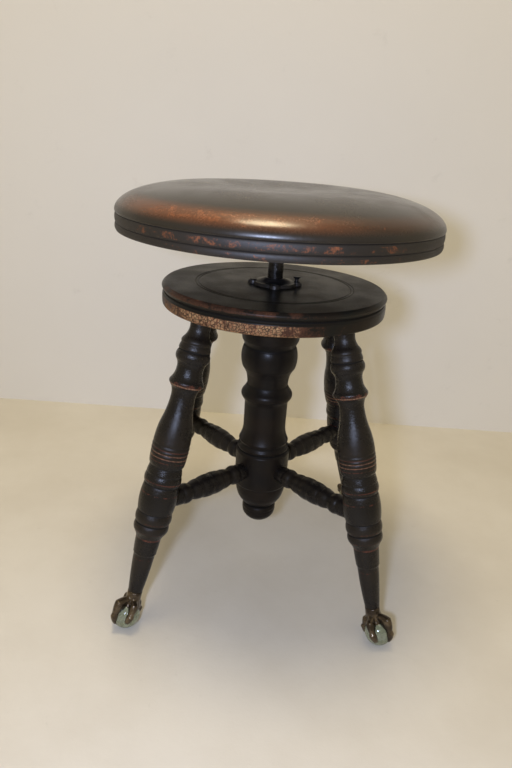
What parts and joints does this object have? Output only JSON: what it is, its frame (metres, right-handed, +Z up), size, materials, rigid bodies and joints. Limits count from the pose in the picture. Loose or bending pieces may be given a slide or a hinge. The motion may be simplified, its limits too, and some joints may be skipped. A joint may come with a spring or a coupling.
{
  "type": "revolving piano stool",
  "caption": "Round turned wooden seat on a threaded iron screw over a turned column, splayed turned legs, stretchers and cast claw feet gripping glass balls.",
  "frame": {"origin": "on the floor, on the screw's vertical axis, midway between the feet", "axes": "+Z up along the screw; legs stand on the diagonals between +X and +Y"},
  "size_m": [0.3526, 0.3526, 0.4785],
  "materials": {
    "seat_wood": "dark worn varnish, satin gloss",
    "base_wood": "black-brown crackled varnish, gloss",
    "dark_iron": "dark cast iron, oiled",
    "screw_steel": "dark worn iron",
    "cast_claw": "dark bronzed casting, worn bright on the knuckles",
    "ball_glass": "old greenish pressed glass"
  },
  "bodies": {
    "base": {"base_disc": "base_wood", "column": "base_wood", "nut_plate": "dark_iron", "nut_plate_screws": "dark_iron", "leg_back_right": "base_wood", "stretcher_back_right": "base_wood", "claw_foot_back_right": "cast_claw", "glass_ball_back_right": "ball_glass", "leg_back_left": "base_wood", "stretcher_back_left": "base_wood", "claw_foot_back_left": "cast_claw", "glass_ball_back_left": "ball_glass", "leg_front_left": "base_wood", "stretcher_front_left": "base_wood", "claw_foot_front_left": "cast_claw", "glass_ball_front_left": "ball_glass", "leg_front_right": "base_wood", "stretcher_front_right": "base_wood", "claw_foot_front_right": "cast_claw", "glass_ball_front_right": "ball_glass"},
    "lift_carriage": {"stop_washer": "screw_steel"},
    "seat_assembly": {"seat": "seat_wood", "seat_flange": "dark_iron", "seat_flange_screws": "dark_iron", "lift_screw": "screw_steel", "screw_cross_pin": "screw_steel"}
  },
  "joints": [
    {"name": "seat_lift", "type": "slide", "parent": "base", "child": "lift_carriage", "axis": [0, 0, 1], "range_m": [0, 0.1]},
    {"name": "seat_turn", "type": "hinge", "parent": "lift_carriage", "child": "seat_assembly", "pos_m": [0, 0, 0.3], "axis": [0, 0, 1], "range_deg": [0, 5669.2]}
  ],
  "couplings": [
    {"joint": "seat_lift", "follows": "seat_turn", "m_per_rad": 0.0010106}
  ]
}
